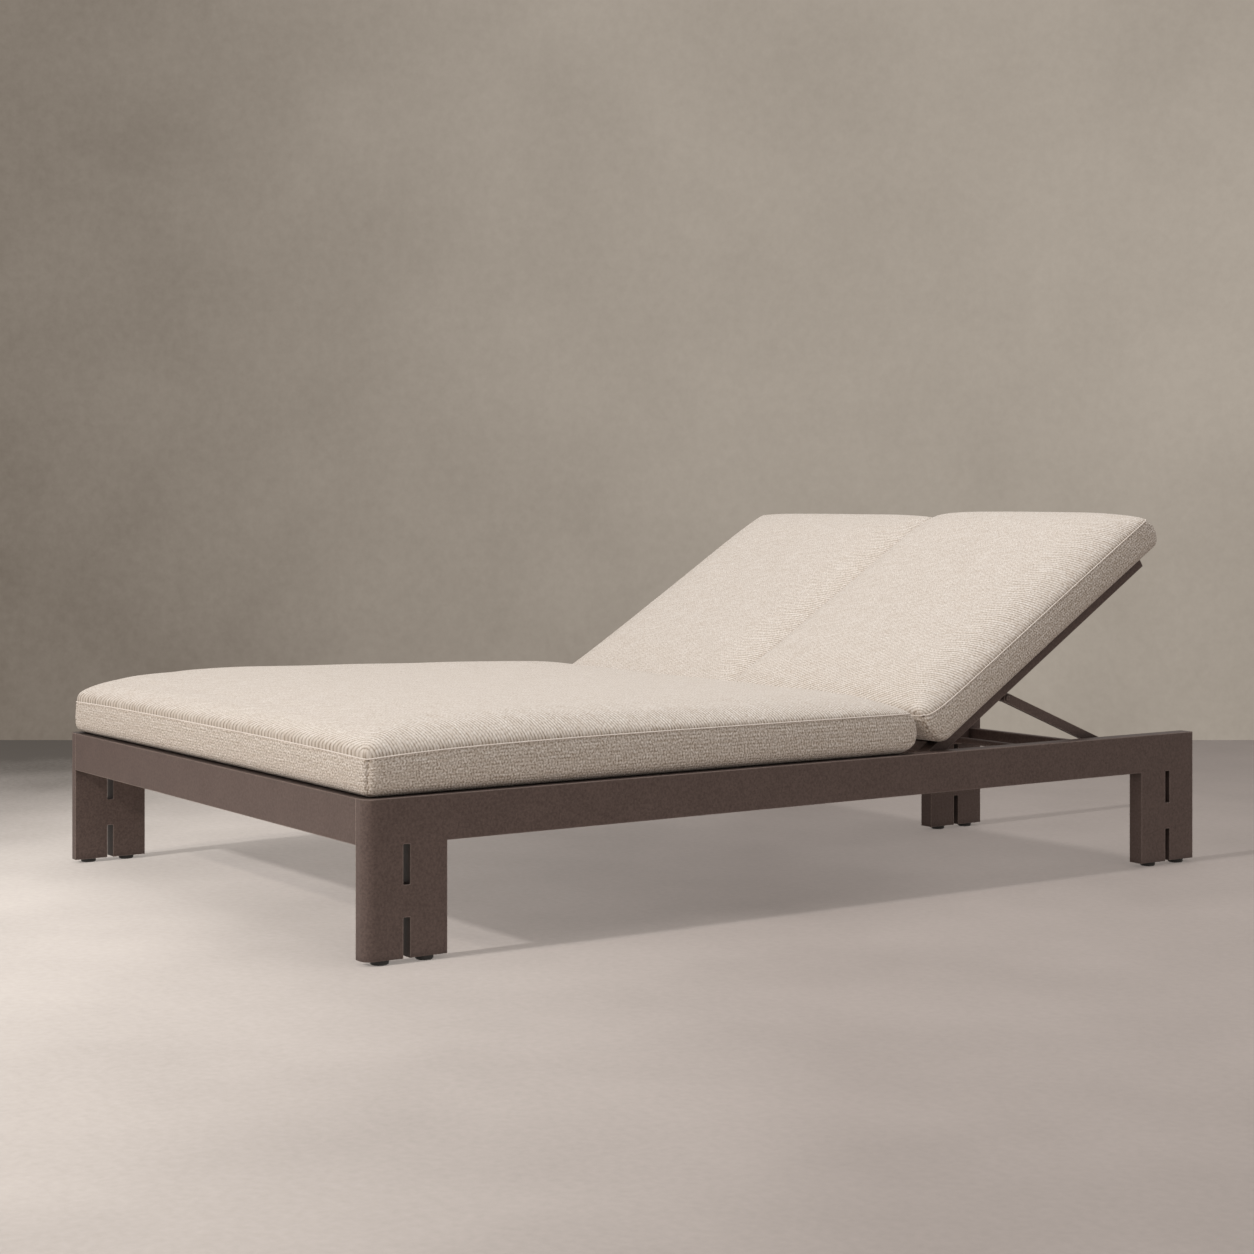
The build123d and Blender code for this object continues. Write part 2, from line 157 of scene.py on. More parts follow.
@dataclass(frozen=True)
class PowderCoat:
    """Polyester powder coat sprayed on aluminium and baked: matte, with a fine even grit.

    The real grit is near 0.3 mm and is drawn at grit_mm so that it shows in the render. Grit and
    cloud, by their shares, make the coat paler. Each arris gets a thin pale line, a painted
    highlight, and slots and corners get painted shade from ambient occlusion, which reaches a set
    depth into them.
    """

    name: str = "Brown powder-coated aluminium"
    colour: str = "4b3e3a"
    pale_colour: str = "7d6c66"
    # The pale colour of the painted highlight on the arrises.
    edge_colour: str = "c4b2a8"
    # The dark colour of the painted shade in slots, corners and hollows.
    hollow_colour: str = "1d1412"
    roughness: float = 0.46
    roughness_spread: float = 0.16
    specular: float = 0.3
    grit_mm: float = 4.5
    grit_height_mm: float = 0.3
    grit_bump: float = 0.5
    grit_share: float = 1.2
    cloud_mm: float = 60.0
    cloud_share: float = 0.22
    share_start: float = -0.24
    edge_radius_mm: float = 2.4
    edge_gain: float = 7.0
    hollow_mm: float = 22.0

    def material(self) -> bpy.types.Material:
        """Build the finish: a clouded coat with its grit, the painted highlight on its arrises and
        the painted shade in its hollows.

        Returns:
            The material.
        """
        material, tree = new_material(self.name)
        place = add_node(tree, "TexCoord").outputs["Object"]
        grit = add_node(tree, "TexNoise", (place, per_metre(self.grit_mm), 3.0, 0.65))
        cloud = add_node(tree, "TexNoise", (place, per_metre(self.cloud_mm), 4.0))
        flat = add_node(tree, "NewGeometry").outputs["Normal"]
        rounded = add_node(tree, "Bevel", (self.edge_radius_mm * MM,), samples=4)
        facing = add_node(tree, "VectorMath", (flat, rounded), operation="DOT_PRODUCT")
        bend = add_node(tree, "Math", (1.0, facing), operation="SUBTRACT")
        edge = add_node(tree, "Math", (bend, self.edge_gain), operation="MULTIPLY", use_clamp=True)
        gritty = add_node(
            tree, "Math", (grit, self.grit_share, self.share_start), operation="MULTIPLY_ADD"
        )
        pale = add_node(
            tree, "Math", (cloud, self.cloud_share, gritty), operation="MULTIPLY_ADD", use_clamp=True
        )
        colours = (linear(self.colour), linear(self.pale_colour))
        coat = add_node(tree, "Mix", (pale, *colours), data_type="RGBA")
        # Painted highlight: where the bevelled normal turns away from the flat one, the arris mixes
        # towards the pale edge colour.
        patchy = add_node(tree, "Math", (cloud, 0.5, 0.5), operation="MULTIPLY_ADD")
        thin = add_node(tree, "Math", (edge, patchy), operation="MULTIPLY")
        coat_with_highlight = add_node(tree, "Mix", (thin, coat, linear(self.edge_colour)), data_type="RGBA")
        # Painted shade: ambient occlusion darkens slots, corners and the rail tops under the
        # cushions.
        occlusion_shade = add_node(tree, "AmbientOcclusion", {"Distance": self.hollow_mm * MM}, samples=4)
        unshaded_share = occlusion_shade.outputs["AO"]
        colour = add_node(
            tree, "Mix", (unshaded_share, linear(self.hollow_colour), coat_with_highlight), data_type="RGBA"
        )
        smoothest = self.roughness - self.roughness_spread / 2
        shine = add_node(
            tree, "Math", (grit, self.roughness_spread, smoothest), operation="MULTIPLY_ADD"
        )
        height = self.grit_height_mm * MM
        bump = add_node(
            tree,
            "Bump",
            {"Strength": self.grit_bump, "Distance": height, "Height": grit, "Normal": rounded},
        )
        looks = {"Base Color": colour, "Roughness": shine, "Normal": bump}
        looks["Specular IOR Level"] = self.specular
        add_node(tree, "OutputMaterial", (add_node(tree, "BsdfPrincipled", looks),))
        return material


@dataclass(frozen=True)
class WovenFabric:
    """Heathered solution-dyed acrylic in a ribbed basket weave, soft and matte.

    The ribs run rib_mm apart, and each rib is a chain of stitches stitch_mm long. The real ribs
    are near 5 mm and are drawn a little coarser, so that they show. Slub is the thick and thin of
    the yarn, which runs along the ribs in long pale and dark streaks, and fleck is its short
    specks. Slub, fleck and each stitch's own tone, by their shares, make the yarn paler.
    """

    name: str = "Heathered oatmeal outdoor fabric"
    pale_yarn: str = "fdf7f1"
    mid_yarn: str = "ddd1c5"
    # The dark yarn of the specks, and also the colour of the painted shade in the stitch gaps and
    # along the seams.
    dark_yarn: str = "7f6c54"
    roughness: float = 0.9
    sheen: float = 0.12
    sheen_roughness: float = 0.6
    specular: float = 0.15
    rib_mm: float = 6.0
    stitch_mm: float = 6.0
    relief_mm: float = 1.1
    relief_bump: float = 0.8
    slub_length_mm: float = 55.0
    slub_width_mm: float = 5.0
    slub_range: tuple[float, float] = (0.36, 0.64)
    slub_share: float = 0.35
    slub_relief: float = 0.3
    fleck_mm: float = 4.0
    fleck_range: tuple[float, float] = (0.34, 0.66)
    fleck_share: float = 0.35
    tone_share: float = 0.3
    wander_mm: float = 60.0
    wander: float = 0.9
    stagger: float = 3.0
    stitch_depth: float = 0.4
    band_stitch_gain: float = 0.15
    band_rib_loss: float = 0.55
    gap_power: float = 1.4
    gap_dark: float = 0.8
    band_specks: float = 0.45

    @staticmethod
    def arches(tree: bpy.types.NodeTree, way: bpy.types.Node) -> bpy.types.Node:
        """Draw one round arch from each whole number to the next: the size of sin(pi x way).

        Args:
            tree: the material's node tree.
            way: the way along the row of arches.

        Returns:
            The arches' height, from 0 to 1.
        """
        turn = add_node(tree, "Math", (way, math.pi), operation="MULTIPLY")
        wave = add_node(tree, "Math", (turn,), operation="SINE")
        return add_node(tree, "Math", (wave,), operation="ABSOLUTE")

    @staticmethod
    def cut_down(
        tree: bpy.types.NodeTree, height: bpy.types.Node, depth: bpy.types.Node
    ) -> bpy.types.Node:
        """Cut a height that is 1 at its tops down to 1 - depth at its bottoms.

        Args:
            tree: the material's node tree.
            height: the height, from 0 to 1.
            depth: the depth of the cut.

        Returns:
            The height times depth, plus 1 - depth.
        """
        lowest = add_node(tree, "Math", (1.0, depth), operation="SUBTRACT")
        return add_node(tree, "Math", (height, depth, lowest), operation="MULTIPLY_ADD")

    def stitches(
        self, tree: bpy.types.NodeTree, flat: bpy.types.Node
    ) -> tuple[bpy.types.Node, bpy.types.Node, bpy.types.Node]:
        """Draw the ribs and their stitches.

        A rib's height is an arch across it, and each stitch is an arch along it. Every rib starts
        at its own place, and a slow noise lets the ribs wander. On the side bands, whose second
        coordinate starts at BAND_START, the cloth is pulled tight: ribs flatten and the stitches
        stand out.

        Args:
            tree: the material's node tree.
            flat: the cloth coordinates in metres.

        Returns:
            The height, each stitch's own tone and whether this is a side band, all from 0 to 1.
        """
        drift = add_node(tree, "TexNoise", (flat, per_metre(self.wander_mm), 1.0))
        along, across = add_node(tree, "SeparateXYZ", (flat,)).outputs[:2]
        even = add_node(tree, "Math", (across, self.rib_mm * MM), operation="DIVIDE")
        sway = add_node(tree, "Math", (drift, self.wander), operation="MULTIPLY")
        ribs = add_node(tree, "Math", (even, sway), operation="ADD")
        rib = add_node(tree, "Math", (ribs,), operation="FLOOR")
        start = add_node(tree, "TexWhiteNoise", (rib,), noise_dimensions="1D")
        late = add_node(tree, "Math", (start, self.stagger), operation="MULTIPLY")
        steps = add_node(tree, "Math", (along, self.stitch_mm * MM), operation="DIVIDE")
        chain = add_node(tree, "Math", (steps, late), operation="ADD")
        on_band = add_node(tree, "Math", (across, BAND_START / 2), operation="LESS_THAN")
        depths = (on_band, -self.band_rib_loss, 1.0)
        rib_depth = add_node(tree, "Math", depths, operation="MULTIPLY_ADD")
        depths = (on_band, self.band_stitch_gain, self.stitch_depth)
        stitch_depth = add_node(tree, "Math", depths, operation="MULTIPLY_ADD")
        rib_height = self.cut_down(tree, self.arches(tree, ribs), rib_depth)
        stitch_height = self.cut_down(tree, self.arches(tree, chain), stitch_depth)
        height = add_node(tree, "Math", (rib_height, stitch_height), operation="MULTIPLY")
        stitch = add_node(tree, "Math", (chain,), operation="FLOOR")
        cell = add_node(tree, "CombineXYZ", (stitch, rib))
        tone = add_node(tree, "TexWhiteNoise", (cell,), noise_dimensions="3D")
        return height, tone, on_band

    def material(self) -> bpy.types.Material:
        """Build the cloth from its own flat coordinates, so the weave follows each panel.

        The gaps between the stitches get painted shade, towards the dark yarn colour. Along the
        seams and the corner seams painted shade darkens the cloth, by the SEAM_SHADE of each point.

        Returns:
            The material.
        """
        material, tree = new_material(self.name)
        flat = add_node(tree, "UVMap", uv_map=WEAVE_UV)
        height, tone, on_band = self.stitches(tree, flat)
        scale = (per_metre(self.slub_length_mm), per_metre(self.slub_width_mm), 1.0)
        stretched = add_node(tree, "Mapping", {"Vector": flat, "Scale": scale})
        streaks = add_node(tree, "TexNoise", (stretched, 1.0, 3.0))
        slub = add_node(tree, "MapRange", (streaks, *self.slub_range))
        specks = add_node(tree, "TexNoise", (flat, per_metre(self.fleck_mm), 1.0))
        fleck = add_node(tree, "MapRange", (specks, *self.fleck_range))
        slubbed = add_node(tree, "Math", (slub, self.slub_share), operation="MULTIPLY")
        flecked = add_node(tree, "Math", (fleck, self.fleck_share), operation="MULTIPLY")
        toned = add_node(tree, "Math", (tone, self.tone_share, flecked), operation="MULTIPLY_ADD")
        heather = add_node(tree, "Math", (slubbed, toned), operation="ADD")
        yarns = (linear(self.mid_yarn), linear(self.pale_yarn))
        yarn = add_node(tree, "Mix", (heather, *yarns), data_type="RGBA")
        # Painted shade: the gaps between the stitches darken towards the dark yarn colour.
        sunk = add_node(tree, "Math", (1.0, height), operation="SUBTRACT")
        gap = add_node(tree, "Math", (sunk, self.gap_power), operation="POWER")
        darks = (fleck, -self.gap_dark / 2, self.gap_dark)
        gap_dark = add_node(tree, "Math", darks, operation="MULTIPLY_ADD")
        deep = add_node(tree, "Math", (gap, gap_dark), operation="MULTIPLY")
        darks = (fleck, -self.band_specks, self.band_specks)
        band_dark = add_node(tree, "Math", darks, operation="MULTIPLY_ADD")
        speckled = add_node(tree, "Math", (on_band, band_dark), operation="MULTIPLY")
        # Painted shade along the seams and the corner seams, from each point's seam shade.
        seam_painted_shade = add_node(tree, "Attribute", attribute_name=SEAM_SHADE).outputs["Fac"]
        dark = add_node(tree, "Math", (deep, speckled), operation="ADD")
        dark = add_node(tree, "Math", (dark, seam_painted_shade), operation="ADD", use_clamp=True)
        colour = add_node(tree, "Mix", (dark, yarn, linear(self.dark_yarn)), data_type="RGBA")
        relief = add_node(tree, "Math", (slub, self.slub_relief, height), operation="MULTIPLY_ADD")
        bump = add_node(
            tree,
            "Bump",
            {"Strength": self.relief_bump, "Distance": self.relief_mm * MM, "Height": relief},
        )
        looks = {"Base Color": colour, "Roughness": self.roughness, "Normal": bump}
        looks |= {"Sheen Weight": self.sheen, "Sheen Roughness": self.sheen_roughness}
        looks["Specular IOR Level"] = self.specular
        add_node(tree, "OutputMaterial", (add_node(tree, "BsdfPrincipled", looks),))
        return material


@dataclass(frozen=True)
class PlainFinish:
    """A moulded, cut or brushed stock material whose surface is one colour with a fine grain.

    grain_mm is the grain's size and stretch is how much longer it is along X, as on brushed bar.
    """

    name: str
    colour: str
    worn_colour: str
    roughness: float
    metallic: float = 0.0
    grain_mm: float = 1.0
    stretch: float = 1.0
    grain_height_mm: float = 0.02
    grain_bump: float = 0.4
    roughness_spread: float = 0.2

    def material(self) -> bpy.types.Material:
        """Build the finish, with its grain in colour, roughness and bump.

        Returns:
            The material.
        """
        material, tree = new_material(self.name)
        place = add_node(tree, "TexCoord").outputs["Object"]
        fine = per_metre(self.grain_mm)
        scale = (fine / self.stretch, fine, fine)
        drawn_out = add_node(tree, "Mapping", {"Vector": place, "Scale": scale})
        grain = add_node(tree, "TexNoise", (drawn_out, 1.0, 3.0))
        colours = (linear(self.colour), linear(self.worn_colour))
        colour = add_node(tree, "Mix", (grain, *colours), data_type="RGBA")
        smoothest = self.roughness - self.roughness_spread / 2
        shine = add_node(
            tree, "Math", (grain, self.roughness_spread, smoothest), operation="MULTIPLY_ADD"
        )
        height = self.grain_height_mm * MM
        bump = add_node(
            tree, "Bump", {"Strength": self.grain_bump, "Distance": height, "Height": grain}
        )
        looks = {"Base Color": colour, "Roughness": shine, "Normal": bump}
        looks["Metallic"] = self.metallic
        add_node(tree, "OutputMaterial", (add_node(tree, "BsdfPrincipled", looks),))
        return material


# Glides: nearly black and a little glossy, with the fine grain that the mould leaves.
NYLON = PlainFinish("Moulded black nylon", "1b1a19", "262423", 0.45, grain_mm=0.8)
# Bumpers: duller than the nylon, because rubber scatters what it reflects.
RUBBER = PlainFinish("Moulded black rubber", "201f1e", "2b2927", 0.75, grain_mm=1.2)
# Bushes: turned from rod, so paler and smoother than a moulded piece.
BUSH_NYLON = PlainFinish("Turned dark nylon", "24211f", "35312e", 0.4, grain_mm=0.6)
# Pins: brushed along X, which draws their shine out into long fine marks.
STEEL = PlainFinish("Brushed stainless steel", "a9a49e", "c2beb8", 0.34, 1.0, 0.4, 30.0)


def make_mesh(
    name: str, points: np.ndarray, quads: np.ndarray, flat: np.ndarray | None = None
) -> bpy.types.Object:
    """Put arrays of points and four-sided faces into a new smooth mesh object.

    Args:
        name: the piece's name.
        points: n by 3 places in metres.
        quads: m by 4 point numbers, anticlockwise seen from outside.
        flat: m by 4 by 2 cloth coordinates in metres, one for each face corner.

    Returns:
        The object, linked to the scene.
    """
    mesh = bpy.data.meshes.new(name)
    mesh.vertices.add(len(points))
    mesh.vertices.foreach_set("co", points.astype(np.float32).ravel())
    mesh.loops.add(quads.size)
    mesh.loops.foreach_set("vertex_index", quads.astype(np.int32).ravel())
    mesh.polygons.add(len(quads))
    mesh.polygons.foreach_set("loop_start", np.arange(0, quads.size, 4, dtype=np.int32))
    mesh.polygons.foreach_set("use_smooth", np.ones(len(quads), dtype=bool))
    mesh.update(calc_edges=True)
    mesh.validate()
    if flat is not None:
        layer = mesh.uv_layers.new(name=WEAVE_UV)
        layer.data.foreach_set("uv", flat.astype(np.float32).ravel())
    piece = bpy.data.objects.new(name, mesh)
    bpy.context.scene.collection.objects.link(piece)
    return piece


def read_points(mesh: bpy.types.Mesh) -> np.ndarray:
    """Read the places of a mesh's points.

    Args:
        mesh: the mesh.

    Returns:
        The places as an n by 3 array.
    """
    places = np.empty(len(mesh.vertices) * 3, dtype=np.float32)
    mesh.vertices.foreach_get("co", places)
    return places.reshape(-1, 3).astype(float)


def bake_modifiers(piece: bpy.types.Object) -> None:
    """Replace a piece's mesh by what its modifiers make of it, and remove them.

    Args:
        piece: the object, whose modifiers are applied in place.
    """
    graph = bpy.context.evaluated_depsgraph_get()
    graph.update()
    baked = bpy.data.meshes.new_from_object(piece.evaluated_get(graph), depsgraph=graph)
    piece.modifiers.clear()
    piece.data = baked


def grid_faces(rows: np.ndarray) -> np.ndarray:
    """Give the quads between neighbouring rows of a grid of point numbers.

    Args:
        rows: r by c point numbers.

    Returns:
        The (r-1)(c-1) quads as n by 4 point numbers.
    """
    corners = (rows[:-1, :-1], rows[1:, :-1], rows[1:, 1:], rows[:-1, 1:])
    return np.stack([corner.ravel() for corner in corners], axis=1)


@dataclass(frozen=True)
class EndProfile:
    """The side view of one end of a cushion, as offsets along the cushion at rising heights.

    A plus offset bulges outwards from the plan outline. The offsets fade to nothing at reach from
    the end.
    """

    heights: tuple[float, ...] = (0.0, 1.0)
    offsets: tuple[float, ...] = (0.0, 0.0)
    reach: float = 110 * MM

    def shift(self, height: np.ndarray, from_end: np.ndarray) -> np.ndarray:
        """Give the offset at each point: the profile's, times a smooth step from reach to the end.

        Args:
            height: heights over the face the cushion lies on.
            from_end: distances from the end.

        Returns:
            The offsets, outwards positive.
        """
        near = 1 - np.clip(from_end / self.reach, 0, 1)
        return np.interp(height, self.heights, self.offsets) * near ** 2 * (3 - 2 * near)


@dataclass
class BoxCushion:
    """A boxed cushion: a crowned top panel, a side band that turns under, and a flat bottom.

    Its own frame has x across, y along and z up from the face it lies on; place puts it in the
    object's frame. Sizes are in metres. The seam between panel and band lies at seam_height, and
    rises or falls by seam_end towards the low end and by seam_bow in the middle of that end.
    """

    name: str
    half_x: float
    half_y: float
    place: Matrix
    # The top panel's height, its seam, and how the panel rises from the one to the other.
    top_height: float
    seam_height: float
    seam_end: float
    seam_bow: float
    seam_reach: float
    shoulder: float
    edge_run: float
    side_power: float
    crown_run: float
    # The corners in plan at the low and the high end, the rounding below, and the end profiles.
    low_radius: float
    high_radius: float
    under_radius: float
    low_profile: EndProfile
    high_profile: EndProfile
    # The band's bulge, the draw-in of the sides, and the panel's roll over the seam.
    bulge: float = 2 * MM
    pull_in: float = 3 * MM
    roll: float = 3.5 * MM
    # How the panel's rounding differs at the ends, and how its shoulder rises and falls.
    end_power: float = 0.5
    high_taper: float = 0.7
    end_rise: float = 0.0
    end_run: float = 390 * MM
    fall: float = 0.0
    # The depth of the corner seams, the turn of the weave, and the spacing of grid and rings.
    pucker: float = 3.2 * MM
    bias: float = math.radians(25)
    pitch: float = 13 * MM
    band_pitch: float = 4.5 * MM
    # The furthest that the air moves the panels and the band, and the air's pressure.
    swell: float = 7 * MM
    band_swell: float = 1.5 * MM
    swell_run: float = 200 * MM
    pressure: float = 4.0
    welt_radius: float = 1.2 * MM
    welt_sides: int = 8
    # The fade of each form of plan, top_panel and band.
    least_radius: float = 3 * MM
    corner_power: int = 11
    pull_power: int = 4
    corner_reach: float = 60 * MM
    roll_rise: float = 2.2 * MM
    roll_fade: float = 22 * MM
    wave_height: float = 0.9 * MM
    lip: float = 1.2 * MM
    lip_rise: float = 2 * MM
    # Where the cloth is held, how much painted shade darkens the seams and corners, and how wide
    # their forms.
    held_edge: float = 24 * MM
    held_fade: float = 18 * MM
    seam_dark: float = 0.3
    seam_dark_reach: float = 3.5 * MM
    corner_dark: float = 0.2
    corner_dark_reach: float = 2.5 * MM
    groove_reach: float = 3.5 * MM
    pucker_wave: float = 0.45
    pucker_dark: float = 0.25
    pucker_reach: float = 11 * MM
    pucker_turn: float = 0.5
    cloth_frames: int = 15

    # Grid lines in from the panel's edge, rings down from the seam and how firmly each is held.
    edge_lines = np.array([0, 1.5, 4, 8, 14, 22, 33]) * MM
    band_drops = np.array([1.5, 4, 9]) * MM
    band_holds = np.array([1, 0.9, 0.5])
    turn_rows = 6

    def edge_spread(self, half_size: float) -> np.ndarray:
        """Give grid lines from -1 to 1, even in the middle and close together at both ends.

        Args:
            half_size: half the panel's size along this axis.

        Returns:
            The line places as shares of the half size.
        """
        inner = half_size - self.edge_lines[-1]
        count = int(round(2 * inner / self.pitch))
        middle = np.linspace(-inner, inner, count + 1)
        outer = half_size - self.edge_lines[:-1]
        return np.concatenate([-outer, middle, outer[::-1]]) / half_size

    def plan(
        self, a: np.ndarray, b: np.ndarray, inset: np.ndarray | float
    ) -> tuple[np.ndarray, np.ndarray]:
        """Map a square of side 2 onto the cushion's outline in plan.

        A point keeps its share of the half sizes, the boundary is pulled onto corner arcs, and the
        middle of each side is drawn in by pull_in, as a parabola along the side.

        Args:
            a: shares across, from -1 to 1.
            b: shares along, from -1 to 1.
            inset: how far the outline is drawn in, for all points or for each.

        Returns:
            The x and y of each point.
        """
        inset = np.broadcast_to(inset, a.shape)
        half = np.stack([self.half_x - inset, self.half_y - inset], axis=-1)
        wanted = np.where(b < 0, self.low_radius, self.high_radius)
        radius = np.maximum(wanted - inset, self.least_radius)[..., None]
        ring = np.maximum(np.maximum(np.abs(a), np.abs(b)), 1e-6)
        edge = np.stack([a / ring, b / ring], axis=-1) * half
        core = np.clip(edge, radius - half, half - radius)
        away = edge - core
        length = np.maximum(np.linalg.norm(away, axis=-1, keepdims=True), 1e-9)
        arc = core + away / length * radius
        flat = np.stack([a, b], axis=-1) * half
        mapped = flat + (ring ** self.corner_power)[..., None] * (arc - edge)
        x = mapped[..., 0] - self.pull_in * a * (1 - b ** 2) * ring ** self.pull_power
        y = mapped[..., 1] - self.pull_in * b * (1 - a ** 2) * ring ** self.pull_power
        return x, y

    def seam_level(self, a: np.ndarray, b: np.ndarray) -> np.ndarray:
        """Give the seam's height: level, with a change that decays from the low end.

        Args:
            a: shares across, from -1 to 1.
            b: shares along, from -1 to 1.

        Returns:
            The height at each point.
        """
        near_end = np.exp(-self.half_y * (b + 1) / self.seam_reach)
        from_side = 1 - np.exp(-self.half_x * (1 - np.abs(a)) / self.seam_reach)
        return self.seam_height + near_end * (self.seam_end + self.seam_bow * from_side)

    def to_edge(self, a: np.ndarray, b: np.ndarray) -> np.ndarray:
        """Give each panel point's distance to the seam, a soft minimum over the four sides.

        Args:
            a: shares across, from -1 to 1.
            b: shares along, from -1 to 1.

        Returns:
            The distances.
        """
        to_x = self.half_x * (1 - np.abs(a)) + 1e-7
        to_y = self.half_y * (1 - np.abs(b)) + 1e-7
        return (to_x ** -3.0 + to_y ** -3.0) ** (-1 / 3)

    def top_panel(self, a: np.ndarray, b: np.ndarray) -> np.ndarray:
        """Give the crowned panel.

        It rises from the seam to the shoulder over edge_run, by a parabola raised to a power:
        end_power at the ends and corners, where one half makes it a quarter ellipse, and
        side_power along the sides. Then it rises to the top by a slow sine crown that ends at
        crown_run from the edge. The shoulder itself rises by end_rise over end_run from the low
        end, and falls by fall from end to end. Close to the seam the panel rolls outwards over
        it, by roll times a rise and a decay. Towards the corners of the high end the shoulder
        flattens by high_taper. Low waves, slow sines across and along, keep the panel from lying
        dead flat.

        Args:
            a: shares across, from -1 to 1.
            b: shares along, from -1 to 1.

        Returns:
            The points, rows by columns by 3.
        """
        near = self.to_edge(a, b)
        to_x = self.half_x * (1 - np.abs(a)) + 1e-7
        to_y = self.half_y * (1 - np.abs(b)) + 1e-7
        power = self.end_power + (self.side_power - self.end_power) * (to_y / (to_x + to_y)) ** 3
        rounded = (1 - (1 - np.clip(near / self.edge_run, 0, 1)) ** 2) ** power
        in_x, in_y = self.half_x * (1 - np.abs(a)), self.half_y * (1 - np.abs(b))
        crown = np.sin(np.clip(in_x / self.crown_run, 0, 1) * math.pi / 2)
        crown = crown * np.sin(np.clip(in_y / self.crown_run, 0, 1) * math.pi / 2)
        from_low = np.clip(self.half_y * (1 + b) / self.end_run, 0, 1)
        shoulder = self.shoulder + self.end_rise * np.sin(from_low * math.pi / 2)
        shoulder = shoulder - self.fall * (b + 1) / 2
        seam = self.seam_level(a, b)
        corner = np.exp(-np.hypot(in_x, self.half_y * (1 - b)) / self.corner_reach)
        rise = (shoulder - seam) * (1 - self.high_taper * corner)
        over = self.roll * (1 - np.exp(-near / self.roll_rise)) * np.exp(-near / self.roll_fade)
        x, y = self.plan(a, b, -over)
        wave = np.sin(x * 17 + 1.3 * np.sin(y * 9)) * np.sin(y * 13 + 0.7)
        wave = wave + 0.6 * np.sin(x * 31 + y * 23)
        height = seam + rise * rounded + (self.top_height - self.shoulder) * crown
        return np.stack([x, y, height + self.wave_height * wave * rounded * crown], axis=-1)

    def band(self, a: np.ndarray, b: np.ndarray) -> np.ndarray:
        """Give the side band's rings, from just under the seam down to the bottom.

        Above the lower rounding the band stands upright, with a lip at the seam and a bulge that
        is a half sine; below, it is a quarter circle of under_radius.

        Args:
            a: the seam's shares across.
            b: the seam's shares along.

        Returns:
            The rings as rows by points by 3.
        """
        seam = self.seam_level(a, b)
        drop = seam - self.under_radius
        even = np.linspace(0, 1, max(int(drop.min() / self.band_pitch), 3) + 1)[1:, None]
        low = self.band_drops[-1]
        first = np.outer(self.band_drops, np.ones_like(seam))
        drops = np.concatenate([first, low + even * (drop - low)])
        lip = self.lip * (1 - np.exp(-drops / self.lip_rise))
        insets = -self.bulge * np.sin(drops / drop * math.pi * 0.8) - lip
        turn = np.linspace(0, math.pi / 2, self.turn_rows)[1:, None]
        insets = np.concatenate([insets, insets[-1] + self.under_radius * (1 - np.cos(turn))])
        heights = np.concatenate([seam - drops, self.under_radius * (1 - np.sin(turn)) + 0 * seam])
        around = np.broadcast_to(a, heights.shape), np.broadcast_to(b, heights.shape)
        x, y = self.plan(*around, insets)
        return np.stack([x, y, heights], axis=-1)

    def build(self) -> tuple[bpy.types.Object, np.ndarray]:
        """Build the closed cushion, swell it with cloth pressure, sew its corners and smooth it.

        The top grid, the side band's rings and the bottom grid share their boundary points. The
        cloth coordinates are plan metres on the panels, and metres round and down on the band.

        Returns:
            The cushion's object, still without a material, and the seam's point numbers.
        """
        spreads = self.edge_spread(self.half_x), self.edge_spread(self.half_y)
        a, b = np.meshgrid(*spreads, indexing="ij")
        rows, columns = a.shape
        numbers = np.arange(rows * columns).reshape(rows, columns)
        ring = np.concatenate(
            [numbers[:-1, 0], numbers[-1, :-1], numbers[:0:-1, -1], numbers[0, :0:-1]]
        )
        rings = self.band(a.ravel()[ring], b.ravel()[ring])
        low_x, low_y = self.plan(a, b, self.under_radius - self.bulge)
        bottom = np.stack([low_x, low_y, np.zeros_like(low_x)], axis=-1)
        inner = np.ones_like(numbers, dtype=bool)
        inner.ravel()[ring] = False
        first = rows * columns
        ring_numbers = first + np.arange(rings.shape[0] * len(ring)).reshape(rings.shape[0], -1)
        bottom_numbers = np.empty_like(numbers)
        bottom_numbers.ravel()[ring] = ring_numbers[-1]
        bottom_numbers[inner] = ring_numbers[-1, -1] + 1 + np.arange(inner.sum())
        top = self.top_panel(a, b).reshape(-1, 3)
        points = np.concatenate([top, rings.reshape(-1, 3), bottom[inner]])
        closed = np.concatenate([ring[None], ring_numbers])
        closed = np.concatenate([closed, closed[:, :1]], axis=1)
        quads = np.concatenate(
            [grid_faces(numbers), grid_faces(closed), grid_faces(bottom_numbers)[:, ::-1]]
        )
        flat = self.cloth_coordinates(points, closed, quads, numbers.shape)
        points[:, 1] += self.high_profile.shift(points[:, 2], self.half_y - points[:, 1])
        points[:, 1] -= self.low_profile.shift(points[:, 2], self.half_y + points[:, 1])
        piece = make_mesh(self.name, points, quads, flat)
        near = self.to_edge(a, b).ravel()
        held = np.zeros(len(points))
        held[:first] = np.clip((self.held_edge - near) / self.held_fade, 0, 1)
        held[ring_numbers[:len(self.band_holds)]] = self.band_holds[:, None]
        held[bottom_numbers.ravel()] = 1
        cap = np.full(len(points), self.band_swell)
        cap[:first] += (self.swell - self.band_swell) * np.clip(near / self.swell_run, 0, 1)
        self.swell_with_air(piece, held, cap)
